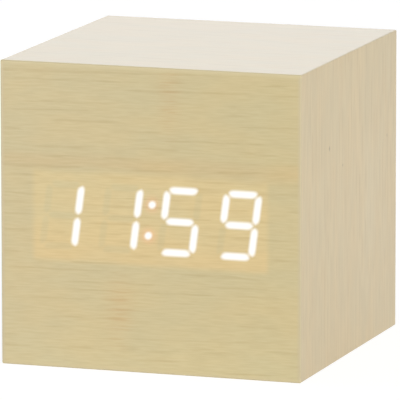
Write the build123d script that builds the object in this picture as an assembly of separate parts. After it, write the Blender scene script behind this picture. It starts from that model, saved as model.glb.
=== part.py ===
from build123d import *
import math
import os

# All sizes are in millimetres. The clock stands on z = 0, its lit face looks towards -y.

# Cells: three of AAA size, lying across the back of the case
cell_count = 3
cell_diameter = 10.5
cell_length = 44.5
cell_button_diameter = 3.8
cell_button_height = 1.0
cell_gap = 0.6
cell_clearance = 0.2
cell_door_gap = 0.4

# Battery bay with its contact plates and coil springs
bay_wall = 1.4
cradle_height = 2.6
contact_thickness = 0.4
contact_width = 7.0
contact_rise = 4.0
contact_lift = 0.1
tag_width = 2.0
tag_length = 1.5
tag_clearance = 0.15
spring_length = 4.2
spring_wire = 0.5
spring_sides = 4
spring_turns = 3
spring_base_radius = 2.7
spring_tip_radius = 2.0
spring_end_gap = 0.05

# Case boards and the wood film on the front
case_depth = 64.0
board_thickness = 4.5
film_thickness = 0.4
edge_radius = 0.35
film_edge = 0.2
side_gap = 1.35
lower_strip = 2.4
block_size = 7.2
block_length = 16.0
block_chamfer = 2.2

# Four-figure display, with the segments that are lit in each figure: 1, 1, 5 and 9
lit_letters = ("bc", "bc", "acdfg", "abcdfg")
display_width = 50.3
display_height = 19.0
display_depth = 8.0
display_wall = 0.9
figure_trim = 0.3
figure_side = 2.95
figure_border = 2.37
figure_shift = 0.24
figure_lift = 0.13
segment_width = 1.5
segment_tip = 0.3
corner_gap = 0.26
corner_cut = 0.8
middle_gap = 0.34
bar_gap = 0.39
slant_degrees = 7.6
colon_radius = 0.8
dot_clearance = 0.02
dot_sides = 16
base_thickness = 1.2
base_clearance = 0.1
window_gap = 0.3
lens_floor_gap = 0.5
well_taper = 0.45
chip_size = 0.5
chip_height = 0.3
pin_count = 6
pin_pitch = 2.54
pin_edge = 1.88
pin_width = 0.6
pin_hole_gap = 0.15
pin_length = 3.0

# Main board behind the display and what is soldered to it
board_depth = 1.6
board_margin = 0.9
spacer_radius = 2.4
spacer_margin = 0.6
screw_edge = 2.9
controller_size = 7.5
controller_length = 10.3
controller_height = 2.2
controller_leg_count = 8
controller_leg_pitch = 1.1
controller_leg_width = 0.42
controller_leg_foot = 1.3
controller_leg_sheet = 0.25
crystal_radius = 1.0
crystal_length = 6.0
crystal_seat = 0.05
buzzer_radius = 6.0
buzzer_height = 7.5
buzzer_hole_radius = 1.0
buzzer_hole_depth = 1.5
capacitor_radius = 2.5
capacitor_height = 7.0
capacitor_edge = 0.3
part_gap = 2.4
socket_length = 9.0
socket_width = 4.4
socket_height = 4.6
socket_margin = 1.4
ribbon_width = 7.0
ribbon_thickness = 0.9
ribbon_lead = 9.0

# Rear cover
cover_recess = 1.6
cover_thickness = 2.0
cover_gap = 0.2
cover_corner = 0.8
cover_edge = 0.4
tongue_spacing = 28.0
tongue_width = 8.0
tongue_thickness = 1.2
tongue_depth = 1.6
tongue_gap = 0.15
post_radius = 2.0
post_edge = 2.2

# Battery door
door_ledge = 0.9
door_gap = 0.2
door_seat_gap = 0.1
door_edge = 0.3
hook_spacing = 30.0
hook_width = 6.0
hook_thickness = 1.2
hook_reach = 1.4
hook_gap = 0.2
hook_room = 0.4
scoop_width = 16.0
scoop_height = 3.2
scoop_depth = 1.2
thumb_width = 11.0
thumb_room = 1.4
thumb_gap = 0.2
grip_count = 4
grip_pitch = 1.7
grip_width = 0.8
grip_height = 0.35
grip_length = 14.0

# Buttons, their switches and the power inlet, all on the key board
button_names = ("set", "up", "down")
button_pitch = 9.0
cap_radius = 2.8
cap_proud = 1.0
cap_dome = 0.35
cap_clearance = 0.15
flange_radius = 3.6
flange_thickness = 1.0
flange_gap = 0.1
key_travel = 0.5
switch_size = 6.0
switch_height = 3.4
plunger_radius = 1.7
plunger_height = 1.6
plunger_depth = 0.6
plunger_clearance = 0.1
plunger_floor_gap = 0.3
jack_spacing = 9.0
jack_size = 7.0
jack_collar_radius = 2.9
jack_collar_clearance = 0.1
jack_mouth_depth = 0.2
jack_seat_gap = 0.1
jack_bore_radius = 1.9
jack_floor = 1.0
jack_pin_radius = 0.65
jack_pin_recess = 1.2
row_gap = 0.6
key_board_depth = 1.6
key_board_gap = 1.25
key_board_margin = 1.0
key_board_side = 2.0

# Screws: head radius, head height, shank radius
cover_screw = (2.5, 1.3, 1.2)
board_screw = (1.8, 1.1, 0.95)
cover_screw_length = 9.0
cover_screw_recess = 1.1
board_screw_bite = 3.2
screw_hole_gap = 0.2
pilot_gap = 0.05
screw_sides = 12
screw_slot_length = 2.8
screw_slot_width = 0.6
screw_slot_depth = 0.6

# Wires from the battery bay to the key board
lead_radius = 0.6
lead_sides = 4
lead_drop = 4.0
lead_landing = 5.0

# Sizes that follow from the ones above
cell_radius = cell_diameter / 2
cell_pitch = cell_diameter + cell_gap
cradle_radius = cell_radius + cell_clearance
bay_inner_length = cell_length + spring_length + 2 * contact_thickness
bay_inner_height = (cell_count - 1) * cell_pitch + 2 * cradle_radius
bay_length = bay_inner_length + 2 * bay_wall
bay_height = bay_inner_height + 2 * bay_wall
display_board_width = display_width + 2 * board_margin
largest_key_part = max(switch_size, jack_size)
key_row_width = (len(button_names) - 1) * button_pitch + jack_spacing + switch_size / 2 + jack_size / 2
key_board_width = key_row_width + 2 * key_board_side
key_board_height = post_edge + post_radius + row_gap + largest_key_part + key_board_margin
inner_width = max(bay_length, display_board_width, key_board_width + 2 * block_size) + 2 * side_gap
inner_height = lower_strip + bay_height + 2 * key_board_gap + key_board_height
case_width = inner_width + 2 * board_thickness
case_height = inner_height + 2 * board_thickness
figure_count = len(lit_letters)
digit_pitch = (display_width + figure_trim) / figure_count
digit_column = digit_pitch / 2 - figure_side
digit_row = (display_height - segment_width) / 2 - figure_border
colon_height = digit_row / 2
pin_row = display_height / 2 - pin_edge
slant = math.tan(math.radians(slant_degrees))
edge_nip = edge_radius * (1 - math.sqrt(0.5))

# Heights, measured up from the table
inner_floor = board_thickness
inner_top = inner_floor + inner_height
bay_bottom = inner_floor + lower_strip
bay_top = bay_bottom + bay_height
cell_heights = [bay_bottom + bay_wall + cradle_radius + i * cell_pitch for i in range(cell_count)]
opening_bottom = bay_bottom + bay_wall - door_ledge
opening_top = bay_top - bay_wall + door_ledge
key_board_bottom = bay_top + key_board_gap
key_board_top = key_board_bottom + key_board_height
post_row = key_board_bottom + post_edge
key_row = post_row + post_radius + row_gap + largest_key_part / 2
display_middle = case_height / 2
figure_middle = display_middle + figure_lift
block_middle_z = inner_top - block_size / 2

# Places across the width
block_middle_x = inner_width / 2 - block_size / 2
post_x = key_board_width / 2 - post_edge
first_button_x = -key_row_width / 2 + switch_size / 2
button_xs = [first_button_x + i * button_pitch for i in range(len(button_names))]
jack_x = button_xs[-1] + jack_spacing
opening_half = bay_inner_length / 2 + door_ledge
board_screw_x = display_board_width / 2 - screw_edge
board_screw_rise = display_height / 2 + window_gap + spacer_radius + spacer_margin
display_board_height = 2 * (board_screw_rise + screw_edge)
part_row = 2 * capacitor_radius + controller_length + 2 * crystal_radius + 2 * buzzer_radius + 3 * part_gap
capacitor_x = capacitor_radius - part_row / 2
controller_x = capacitor_x + capacitor_radius + part_gap + controller_length / 2
crystal_x = controller_x + controller_length / 2 + part_gap + crystal_radius
buzzer_x = crystal_x + crystal_radius + part_gap + buzzer_radius

# Depths, from the lit face at the front to the open end of the case at the back
face_front = -case_depth / 2
film_back = face_front + film_thickness
panel_back = film_back + board_thickness
display_back = film_back + display_depth
base_front = display_back - base_thickness
board_back = display_back + board_depth
case_back = case_depth / 2
cover_outer = case_back - cover_recess
cover_inner = cover_outer - cover_thickness
door_thickness = cover_thickness - door_seat_gap
cell_depth = cover_outer - door_thickness - cell_door_gap - cell_radius
cradle_bottom = cell_depth - cradle_radius
bay_floor = cradle_bottom - bay_wall
ridge_top = cradle_bottom + cradle_height
flange_top = cover_inner - flange_gap
plunger_top = flange_top - flange_thickness
switch_top = plunger_top - plunger_height
key_board_back = switch_top - switch_height
key_board_front = key_board_back - key_board_depth


# A box given by its lowest and highest corners
def block(x0, x1, y0, y1, z0, z1):
    return Pos((x0 + x1) / 2, (y0 + y1) / 2, (z0 + z1) / 2) * Box(x1 - x0, y1 - y0, z1 - z0)


# A flat outline drawn in x and z, given thickness between two depths
def prism(outline, y0, y1):
    return extrude(Plane.XZ.offset(-y1) * outline, amount=y1 - y0)


# A round bar along y
def rod(x, z, radius, y0, y1):
    return prism(Pos(x, z) * Circle(radius), y0, y1)


# A square bar along y
def square_bar(x, z, width, y0, y1):
    return prism(Pos(x, z) * Rectangle(width, width), y0, y1)


# A rectangle drawn in x and z
def panel(width, height, middle_z):
    return Pos(0, middle_z) * Rectangle(width, height)


# A turned piece: points are radius and depth, the axis runs along y
def turned(*points):
    return revolve(make_face(Polyline(*points, close=True)), axis=Axis.Y)


# A solid with flat sides through outlines that have parallel edges, each given with its depth
def flat_sided(*sections):
    rings = [[(x, y, z) for x, z in outline] for outline, y in sections]
    loops = [rings[0], rings[-1]]
    for upper, lower in zip(rings, rings[1:]):
        for i in range(len(upper)):
            loops.append([upper[i - 1], upper[i], lower[i], lower[i - 1]])
    return Solid(Shell([Face(Wire.make_polygon(loop)) for loop in loops]))


# A small bar along y with flats, for dots, screw shanks and the holes round them
def flat_bar(x, z, radius, y0, y1, sides=screw_sides):
    return prism(Pos(x, z) * RegularPolygon(radius, sides), y0, y1)


# A tapping screw, its head towards +y, or towards -y when it is driven back
def screw(sizes, length, x, seat, z, head_bar=flat_bar, driven_back=False):
    head_radius, head_height, shank_radius = sizes
    if driven_back:
        head = head_bar(x, z, head_radius, seat - head_height, seat)
        return head + flat_bar(x, z, shank_radius, seat, seat + length)
    head = head_bar(x, z, head_radius, seat, seat + head_height)
    return head + flat_bar(x, z, shank_radius, seat - length, seat)


# A path of straight runs joined by arcs as large as the runs allow
def rounded_route(points):
    corners = [Vector(p) for p in points]
    radii = []
    for before, here, after in zip(corners, corners[1:], corners[2:]):
        turn = math.radians((here - before).get_angle(after - here))
        shorter = min((here - before).length, (after - here).length)
        radii.append(0.45 * shorter / math.tan(turn / 2))
    return FilletPolyline(*points, radius=radii), radii


# Case

# One mitred board, lying with its outer face on z = 0 and its length along x
def mitred_board(length):
    half = length / 2
    section = make_face(
        [
            Line((edge_radius - half, 0), (half - edge_radius, 0)),
            CenterArc((half - edge_radius, edge_radius), edge_radius, -90, 45),
            Line((half - edge_nip, edge_nip), (half - board_thickness, board_thickness)),
            Line((half - board_thickness, board_thickness), (board_thickness - half, board_thickness)),
            Line((board_thickness - half, board_thickness), (edge_nip - half, edge_nip)),
            CenterArc((edge_radius - half, edge_radius), edge_radius, -135, 45),
        ]
    )
    side = make_face(
        Polyline(
            (film_back, 0),
            (case_back, 0),
            (case_back, board_thickness),
            (panel_back, board_thickness),
            close=True,
        )
    )
    return prism(section, film_back, case_back) & extrude(Plane.YZ * side, amount=half, both=True)


# The bottom board has two grooves that take the rear cover's tongues
def make_bottom_panel():
    board = mitred_board(case_width)
    for side in (-1, 1):
        middle = side * tongue_spacing / 2
        reach = tongue_width / 2 + tongue_gap
        board -= block(
            middle - reach,
            middle + reach,
            cover_inner - tongue_gap,
            cover_inner + tongue_thickness + tongue_gap,
            inner_floor - tongue_depth - tongue_gap,
            inner_floor,
        )
    return board


# Front outline of the case, its corners cut in line with the boards' rounded edges
def nipped_outline():
    return chamfer(panel(case_width, case_height, case_height / 2).vertices(), 2 * edge_nip)


# The front board tapers to the back along the mitres and has the display's window
def make_front_panel():
    outer = Plane.XZ.offset(-film_back) * panel(case_width, case_height, case_height / 2)
    inner = Plane.XZ.offset(-panel_back) * panel(inner_width, inner_height, case_height / 2)
    board = loft([outer, inner], ruled=True)
    board &= prism(nipped_outline(), face_front, panel_back + film_thickness)
    window_width = display_width + 2 * window_gap
    window_height = display_height + 2 * window_gap
    board -= prism(panel(window_width, window_height, display_middle), film_back, panel_back)
    for x, z in board_screw_places():
        depth = board_screw_bite + pilot_gap
        board -= flat_bar(x, z, board_screw[2] + pilot_gap, panel_back - depth, panel_back)
    return board


# The film covers the whole front and is cut where the figures shine through
def make_front_film():
    film = prism(nipped_outline(), face_front, film_back)
    film = chamfer(film.faces().sort_by(Axis.Y)[0].edges(), film_edge)
    outlines = [front_outline(digit, letter) for digit, letter in all_segments()]
    cuts = [flat_sided((outline, face_front), (outline, film_back)) for outline in outlines]
    cuts += [flat_bar(x, z, colon_radius, face_front, film_back, dot_sides) for x, z in colon_places()]
    return film - cuts


# Glue blocks in the two upper corners, drilled for the rear cover's screws
def make_corner_blocks():
    blocks = []
    for side in (-1, 1):
        x = side * block_middle_x
        piece = square_bar(x, block_middle_z, block_size, cover_inner - block_length, cover_inner)
        lower_edges = piece.edges().filter_by(Axis.Y).sort_by(Axis.Z)[:2]
        piece = chamfer(lower_edges.sort_by(lambda edge: abs(edge.center().X))[0], block_chamfer)
        depth = cover_screw_length - (cover_thickness - cover_screw_recess) + pilot_gap
        piece -= flat_bar(x, block_middle_z, cover_screw[2] + pilot_gap, cover_inner - depth, cover_inner)
        blocks.append(piece)
    return Compound(blocks)


# Display

# For each segment: whether it stands upright, and the side of the figure that it faces in x and in z
segment_sides = {
    "a": (False, 1, 1),
    "b": (True, 1, 1),
    "c": (True, 1, -1),
    "d": (False, 1, -1),
    "e": (True, -1, -1),
    "f": (True, -1, 1),
    "g": (False, 1, 1),
}


# Segment ends, as points (outwards from the figure, along the segment)

# The end at a corner of the figure, mitred with its sharp point cut off
def mitred_end(corner):
    half = segment_width / 2
    point = corner + half - corner_gap
    cut = point - corner_cut
    return [(half, cut), (half - corner_cut, cut), (-half, point - segment_width)]


# The end beside the middle bar, or of the bar itself, pointed from both sides
def pointed_end(tip):
    half = segment_width / 2
    nose = segment_tip / 2
    shoulder = tip - half + nose
    return [(half, shoulder), (nose, tip), (-nose, tip), (-half, shoulder)]


# Outline of a segment that faces out to the right or upwards
def plain_outline(letter):
    if letter == "g":
        end = pointed_end(digit_column - bar_gap)
        return end + [(-out, -along) for out, along in end]
    if segment_sides[letter][0]:
        return mitred_end(digit_row) + [(-out, -along) for out, along in pointed_end(-middle_gap)]
    end = mitred_end(digit_column)
    return end + [(out, -along) for out, along in reversed(end)]


# Outline at the face of the display, leaning with the figure
def front_outline(digit, letter):
    upright, side_x, side_z = segment_sides[letter]
    start = (digit + 0.5 - figure_count / 2) * digit_pitch + figure_shift
    row = 0 if letter == "g" else digit_row
    placed = []
    for out, along in plain_outline(letter):
        x, z = (digit_column + out, along) if upright else (along, row + out)
        rise = side_z * z
        placed.append((start + side_x * x + slant * rise, figure_middle + rise))
    turned_over = upright != (side_x * side_z > 0)
    return placed[::-1] if turned_over else placed


# Middle of an outline
def outline_middle(outline):
    xs = [x for x, z in outline]
    zs = [z for x, z in outline]
    return (min(xs) + max(xs)) / 2, (min(zs) + max(zs)) / 2


# The same outline drawn in about its middle, part of the way to the bottom of the reflector well
def tapered_outline(outline, share):
    middle_x, middle_z = outline_middle(outline)
    scale = 1 + share * (well_taper - 1)
    return [(middle_x + scale * (x - middle_x), middle_z + scale * (z - middle_z)) for x, z in outline]


# Every segment of every figure, as (figure, letter)
def all_segments():
    return [(digit, letter) for digit in range(figure_count) for letter in segment_sides]


def colon_places():
    return [(figure_shift + slant * z, figure_middle + z) for z in (colon_height, -colon_height)]


# Black housing with a tapered reflector well for each segment
def make_display_housing():
    housing = prism(panel(display_width, display_height, display_middle), film_back, display_back)
    pocket = panel(display_width - 2 * display_wall, display_height - 2 * display_wall, display_middle)
    wells = [prism(pocket, base_front, display_back)]
    for digit, letter in all_segments():
        mouth = front_outline(digit, letter)
        wells.append(flat_sided((mouth, film_back), (tapered_outline(mouth, 1), base_front)))
    wells += [flat_bar(x, z, colon_radius, film_back, base_front, dot_sides) for x, z in colon_places()]
    return housing - wells


# Clear resin cast in one well, from just over the LED chip to the outer face of the film
def segment_lens(digit, letter):
    depth = base_front - lens_floor_gap
    share = (depth - film_back) / (base_front - film_back)
    mouth = front_outline(digit, letter)
    return flat_sided((mouth, face_front), (mouth, film_back), (tapered_outline(mouth, share), depth))


def make_segments(lit):
    chosen = [(digit, letter) for digit, letter in all_segments() if (letter in lit_letters[digit]) == lit]
    return Compound([segment_lens(digit, letter) for digit, letter in chosen])


def make_colon_dots():
    radius = colon_radius - dot_clearance
    end = base_front - lens_floor_gap
    return Compound([flat_bar(x, z, radius, face_front, end, dot_sides) for x, z in colon_places()])


def pin_places():
    span = (pin_count - 1) * pin_pitch
    xs = [i * pin_pitch - span / 2 for i in range(pin_count)]
    return [(x, display_middle + side * pin_row) for side in (-1, 1) for x in xs]


def make_display_base():
    width = display_width - 2 * display_wall - 2 * base_clearance
    height = display_height - 2 * display_wall - 2 * base_clearance
    return prism(panel(width, height, display_middle), base_front, display_back)


def make_segment_leds():
    places = [outline_middle(front_outline(*segment)) for segment in all_segments()] + colon_places()
    return Compound([square_bar(x, z, chip_size, base_front - chip_height, base_front) for x, z in places])


def make_display_pins():
    end = display_back + pin_length
    return Compound([square_bar(x, z, pin_width, display_back, end) for x, z in pin_places()])


# Main board

def board_screw_places():
    return [
        (sx * board_screw_x, display_middle + sz * board_screw_rise)
        for sx in (-1, 1)
        for sz in (-1, 1)
    ]


def make_display_board():
    board = prism(panel(display_board_width, display_board_height, display_middle), display_back, board_back)
    screw_radius = board_screw[2] + screw_hole_gap
    pin_hole = pin_width + 2 * pin_hole_gap
    holes = [flat_bar(x, z, screw_radius, display_back, board_back) for x, z in board_screw_places()]
    holes += [square_bar(x, z, pin_hole, display_back, board_back) for x, z in pin_places()]
    return board - holes


def make_display_spacers():
    rings = []
    for x, z in board_screw_places():
        ring = prism(Pos(x, z) * RegularPolygon(spacer_radius, 6), panel_back, display_back)
        rings.append(ring - flat_bar(x, z, board_screw[2] + screw_hole_gap, panel_back, display_back))
    return Compound(rings)


def make_display_board_screws():
    length = board_back - panel_back + board_screw_bite
    return Compound([screw(board_screw, length, x, board_back, z) for x, z in board_screw_places()])


# Controller chip with a row of bent legs along each long side
def make_controller_chip():
    half_width = controller_size / 2
    half_length = controller_length / 2
    lift = controller_leg_sheet
    chip = block(-half_width, half_width, lift, controller_height, -half_length, half_length)
    knee = controller_height / 2
    leg = make_face(
        Polyline(
            (half_width, knee),
            (half_width, knee + lift),
            (half_width + controller_leg_foot / 2, knee + lift),
            (half_width + controller_leg_foot / 2, lift),
            (half_width + controller_leg_foot, lift),
            (half_width + controller_leg_foot, 0),
            (half_width + controller_leg_foot / 2 - lift, 0),
            (half_width + controller_leg_foot / 2 - lift, knee),
            close=True,
        )
    )
    one_leg = extrude(leg, amount=controller_leg_width / 2, both=True)
    span = (controller_leg_count - 1) * controller_leg_pitch
    legs = []
    for i in range(controller_leg_count):
        step = Pos(0, 0, i * controller_leg_pitch - span / 2)
        legs.append(step * one_leg)
        legs.append(step * Rot(0, 180, 0) * one_leg)
    chip += legs
    return Pos(controller_x, board_back, display_middle) * Rot(0, 90, 0) * chip


def make_quartz_crystal():
    can = Cylinder(crystal_radius, crystal_length)
    return Pos(crystal_x, board_back + crystal_radius + crystal_seat, display_middle) * can


def make_buzzer():
    sounder = turned(
        (buzzer_hole_radius, buzzer_height - buzzer_hole_depth),
        (buzzer_hole_radius, buzzer_height),
        (buzzer_radius, buzzer_height),
        (buzzer_radius, 0),
        (0, 0),
        (0, buzzer_height - buzzer_hole_depth),
    )
    return Pos(buzzer_x, board_back, display_middle) * sounder


def make_capacitor():
    can = turned(
        (0, 0),
        (capacitor_radius, 0),
        (capacitor_radius, capacitor_height - capacitor_edge),
        (capacitor_radius - capacitor_edge, capacitor_height),
        (0, capacitor_height),
    )
    return Pos(capacitor_x, board_back, display_middle) * can


# Socket for the ribbon cable, with a slot that the ribbon's end sits in
def ribbon_socket():
    body = block(-socket_length / 2, socket_length / 2, 0, socket_height, -socket_width / 2, socket_width / 2)
    slot_half = ribbon_width / 2 + screw_hole_gap
    slot_rise = ribbon_thickness / 2 + screw_hole_gap
    return body - block(-slot_half, slot_half, socket_height / 2, socket_height, -slot_rise, slot_rise)


display_socket_z = display_middle + display_board_height / 2 - socket_margin - socket_width / 2
key_socket_z = key_board_top - socket_margin - socket_width / 2


def make_display_socket():
    return Pos(0, board_back, display_socket_z) * ribbon_socket()


def make_key_socket():
    return Pos(0, key_board_front, key_socket_z) * Rot(180, 0, 0) * ribbon_socket()


def make_ribbon_cable():
    start = key_board_front - socket_height / 2
    end = board_back + socket_height / 2
    points = [
        (0, start, key_socket_z),
        (0, start - ribbon_lead, key_socket_z),
        (0, end + ribbon_lead, display_socket_z),
        (0, end, display_socket_z),
    ]
    route, radii = rounded_route(points)
    print("ribbon radii", [round(r, 1) for r in radii])
    section = Plane(points[0], x_dir=(1, 0, 0), z_dir=(0, -1, 0)) * Rectangle(ribbon_width, ribbon_thickness)
    return sweep(section, path=route)


# Rear cover and what it carries

# Outer form of the battery bay: straight upper walls over a row of half rounds
def bay_form(length, radius, floor_rise):
    half = length / 2
    bars = [
        Pos(0, cell_depth, z) * Rot(0, 90, 0) * Cylinder(radius, length) for z in cell_heights
    ]
    low = cell_heights[0] - radius
    high = cell_heights[-1] + radius
    trough = block(-half, half, floor_rise, cover_inner, low, high)
    return trough + [bar & block(-half, half, bay_floor - bay_wall, cover_inner, low, high) for bar in bars]


def contact_places():
    # (side of the bay, lowest cell, highest cell, whether a wire is soldered to it)
    return [(-1, 0, 1, False), (-1, 2, 2, True), (1, 0, 0, True), (1, 1, 2, False)]


def tag_box(side, cell, clearance):
    outer = bay_inner_length / 2
    x0, x1 = sorted((side * (outer + clearance), side * (outer - contact_thickness - clearance)))
    half = tag_width / 2 + clearance
    z = cell_heights[cell]
    return block(x0, x1, bay_floor - tag_length, ridge_top + contact_lift, z - half, z + half)


def make_rear_cover():
    width = inner_width - 2 * cover_gap
    height = inner_height - 2 * cover_gap
    middle = inner_floor + inner_height / 2
    outline = chamfer(panel(width, height, middle).vertices(), cover_corner)
    cover = prism(outline, cover_inner, cover_outer)
    cover = chamfer(cover.faces().sort_by(Axis.Y)[-1].edges(), cover_edge)
    # Battery bay hanging inside the case
    cover += bay_form(bay_length, cradle_radius + bay_wall, cell_depth)
    cover -= bay_form(bay_inner_length, cradle_radius, ridge_top)
    cover -= block(-opening_half, opening_half, cover_inner, cover_outer, opening_bottom, opening_top)
    for side, low_cell, high_cell, wired in contact_places():
        if wired:
            cover -= tag_box(side, low_cell, tag_clearance)
    # Slots that let the door's hooks swing, and the scoop for a thumb above the door
    hook_sweep = math.hypot(cover_thickness + hook_gap + hook_thickness, hook_reach) + hook_gap
    for side in (-1, 1):
        reach = hook_width / 2 + hook_room
        middle_x = side * hook_spacing / 2
        cover -= block(
            middle_x - reach,
            middle_x + reach,
            cover_outer - hook_sweep,
            cover_inner,
            bay_bottom,
            bay_bottom + bay_wall,
        )
    cover -= block(
        -scoop_width / 2,
        scoop_width / 2,
        cover_outer - scoop_depth,
        cover_outer,
        opening_top,
        opening_top + scoop_height,
    )
    # Tongues that stand in the bottom board's grooves
    for side in (-1, 1):
        middle_x = side * tongue_spacing / 2
        cover += block(
            middle_x - tongue_width / 2,
            middle_x + tongue_width / 2,
            cover_inner,
            cover_inner + tongue_thickness,
            inner_floor - tongue_depth,
            inner_floor + 2 * cover_gap,
        )
    # Posts for the key board, holes for the buttons, the power inlet and the screws
    for side in (-1, 1):
        cover += flat_bar(side * post_x, post_row, post_radius, key_board_back, cover_inner)
        cover -= flat_bar(side * post_x, post_row, board_screw[2] + pilot_gap, key_board_back, cover_inner)
        x = side * block_middle_x
        cover -= flat_bar(x, block_middle_z, cover_screw[2] + screw_hole_gap, cover_inner, cover_outer)
        recess = cover_outer - cover_screw_recess
        cover -= rod(x, block_middle_z, cover_screw[0] + screw_hole_gap, recess, cover_outer)
    for x in button_xs:
        cover -= rod(x, key_row, cap_radius + cap_clearance, cover_inner, cover_outer)
    cover -= rod(jack_x, key_row, jack_collar_radius + jack_collar_clearance, cover_inner, cover_outer)
    return cover


# The cover's screws show, so they have their cross slots
def make_rear_cover_screws():
    seat = cover_outer - cover_screw_recess
    top = seat + cover_screw[1]
    screws = []
    for side in (-1, 1):
        x = side * block_middle_x
        one = screw(cover_screw, cover_screw_length, x, seat, block_middle_z, head_bar=rod)
        slot = Box(screw_slot_length, 2 * screw_slot_depth, screw_slot_width)
        one -= Pos(x, top, block_middle_z) * (slot + Rot(0, 90, 0) * slot)
        screws.append(one)
    return Compound(screws)


# Door: a plate in the cover's opening, hooked behind the lower edge, with a thumb tab on top
def make_battery_door():
    half = opening_half - door_gap
    inner = cover_outer - door_thickness
    door = block(-half, half, inner, cover_outer, opening_bottom + door_gap, opening_top - door_gap)
    thumb_top = opening_top + scoop_height - thumb_room
    door += block(
        -thumb_width / 2,
        thumb_width / 2,
        cover_outer - scoop_depth + thumb_gap,
        cover_outer,
        opening_top - 2 * door_gap,
        thumb_top,
    )
    door = chamfer(door.faces().sort_by(Axis.Y)[-1].edges(), door_edge)
    hook_back = -(cover_thickness + hook_gap)
    hook = make_face(
        Polyline(
            (-door_thickness, door_gap),
            (-door_thickness, door_gap + hook_thickness),
            (hook_back - hook_thickness, door_gap + hook_thickness),
            (hook_back - hook_thickness, -hook_reach),
            (hook_back, -hook_reach),
            (hook_back, door_gap),
            close=True,
        )
    )
    for side in (-1, 1):
        middle = (side * hook_spacing / 2, cover_outer, opening_bottom)
        start = Plane(middle, x_dir=(0, 1, 0), z_dir=(1, 0, 0))
        door += extrude(start * hook, amount=hook_width / 2, both=True)
    for i in range(grip_count):
        z = opening_top - (i + 1) * grip_pitch
        outline = Pos(0, z) * Rectangle(grip_length, grip_width)
        door += prism(outline, cover_outer, cover_outer + grip_height)
    return door


# Button cap with a domed top and a flange that stops it behind the cover
def make_button(x):
    top = cover_outer + cap_proud
    cap = turned(
        (0, plunger_top),
        (flange_radius, plunger_top),
        (flange_radius, flange_top),
        (cap_radius, flange_top),
        (cap_radius, top - cap_dome),
        (cap_radius - cap_dome, top),
        (0, top),
    )
    return Pos(x, 0, key_row) * cap


def make_plunger(x):
    return rod(x, key_row, plunger_radius, switch_top - plunger_depth, plunger_top)


def make_switch(x):
    body = square_bar(x, key_row, switch_size, key_board_back, switch_top)
    floor = switch_top - plunger_depth - key_travel - plunger_floor_gap
    return body - rod(x, key_row, plunger_radius + plunger_clearance, floor, switch_top)


def make_key_board():
    middle = (key_board_bottom + key_board_top) / 2
    board = prism(panel(key_board_width, key_board_height, middle), key_board_front, key_board_back)
    holes = []
    for side in (-1, 1):
        x = side * post_x
        holes.append(flat_bar(x, post_row, board_screw[2] + screw_hole_gap, key_board_front, key_board_back))
    return board - holes


def make_key_board_screws():
    length = key_board_depth + board_screw_bite
    screws = []
    for side in (-1, 1):
        screws.append(screw(board_screw, length, side * post_x, key_board_front, post_row, driven_back=True))
    return Compound(screws)


# Power inlet: a square body on the key board with a round collar in the cover's hole
jack_mouth = cover_outer - jack_mouth_depth
jack_bore_floor = key_board_back + jack_floor


def make_dc_jack():
    body = square_bar(jack_x, key_row, jack_size, key_board_back, cover_inner - jack_seat_gap)
    body += rod(jack_x, key_row, jack_collar_radius, cover_inner - jack_seat_gap, jack_mouth)
    return body - rod(jack_x, key_row, jack_bore_radius, jack_bore_floor, jack_mouth)


def make_dc_jack_pin():
    tip = jack_mouth - jack_pin_recess
    pin = turned(
        (0, jack_bore_floor),
        (jack_pin_radius, jack_bore_floor),
        (jack_pin_radius, tip - jack_pin_radius / 2),
        (jack_pin_radius / 2, tip),
        (0, tip),
    )
    return Pos(jack_x, 0, key_row) * pin


# Batteries

# Which end of the bay a cell's button points to, turn and turn about
def button_side(cell):
    return -1 if cell % 2 == 0 else 1


def make_battery(cell):
    can_end = cell_length - cell_button_height
    body = turned(
        (0, 0),
        (cell_radius, 0),
        (cell_radius, can_end),
        (cell_button_diameter / 2, can_end),
        (cell_button_diameter / 2, cell_length),
        (0, cell_length),
    )
    side = button_side(cell)
    foot = side * (bay_inner_length / 2 - contact_thickness - cell_length)
    return Pos(foot, cell_depth, cell_heights[cell]) * Rot(0, 0, -90 * side) * body


# Spring centre line: a cone of turns from the contact plate to the foot of the cell
def spring_point(turns):
    share = turns / spring_turns
    radius = spring_base_radius + share * (spring_tip_radius - spring_base_radius)
    reach = spring_length - spring_wire - 2 * spring_end_gap
    angle = 2 * math.pi * turns
    return Vector(share * reach, radius * math.cos(angle), radius * math.sin(angle))


def spring_heading(turns):
    step = 1e-4
    return (spring_point(turns + step) - spring_point(turns - step)).normalized()


# Two tangent arcs that carry the wire over a quarter of a turn
def quarter_turn(start_turn):
    first = spring_point(start_turn)
    last = spring_point(start_turn + 0.25)
    leave = spring_heading(start_turn)
    arrive = spring_heading(start_turn + 0.25)
    chord = last - first
    both = leave + arrive
    spread = 2 * (1 - leave.dot(arrive))
    along = chord.dot(both)
    reach = (math.sqrt(along * along + spread * chord.dot(chord)) - along) / spread
    meeting = (first + leave * reach + last - arrive * reach) * 0.5
    heading = (last - arrive * reach) - (first + leave * reach)
    return [
        Edge.make_tangent_arc(first, leave, meeting),
        Edge.make_tangent_arc(meeting, heading.normalized(), last),
    ]


def make_spring():
    edges = []
    for quarter in range(4 * spring_turns):
        edges += quarter_turn(quarter / 4)
    section = Plane(spring_point(0), z_dir=spring_heading(0)) * RegularPolygon(spring_wire / 2, spring_sides)
    return sweep(section, path=Wire(edges))


def print_spring_gap():
    steps = 48
    points = [spring_point(i / steps) for i in range(steps * spring_turns + 1)]
    gaps = [
        (points[i] - points[j]).length - spring_wire
        for i in range(len(points))
        for j in range(i + steps // 2, len(points))
    ]
    print("least gap between spring turns", round(min(gaps), 2))


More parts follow.
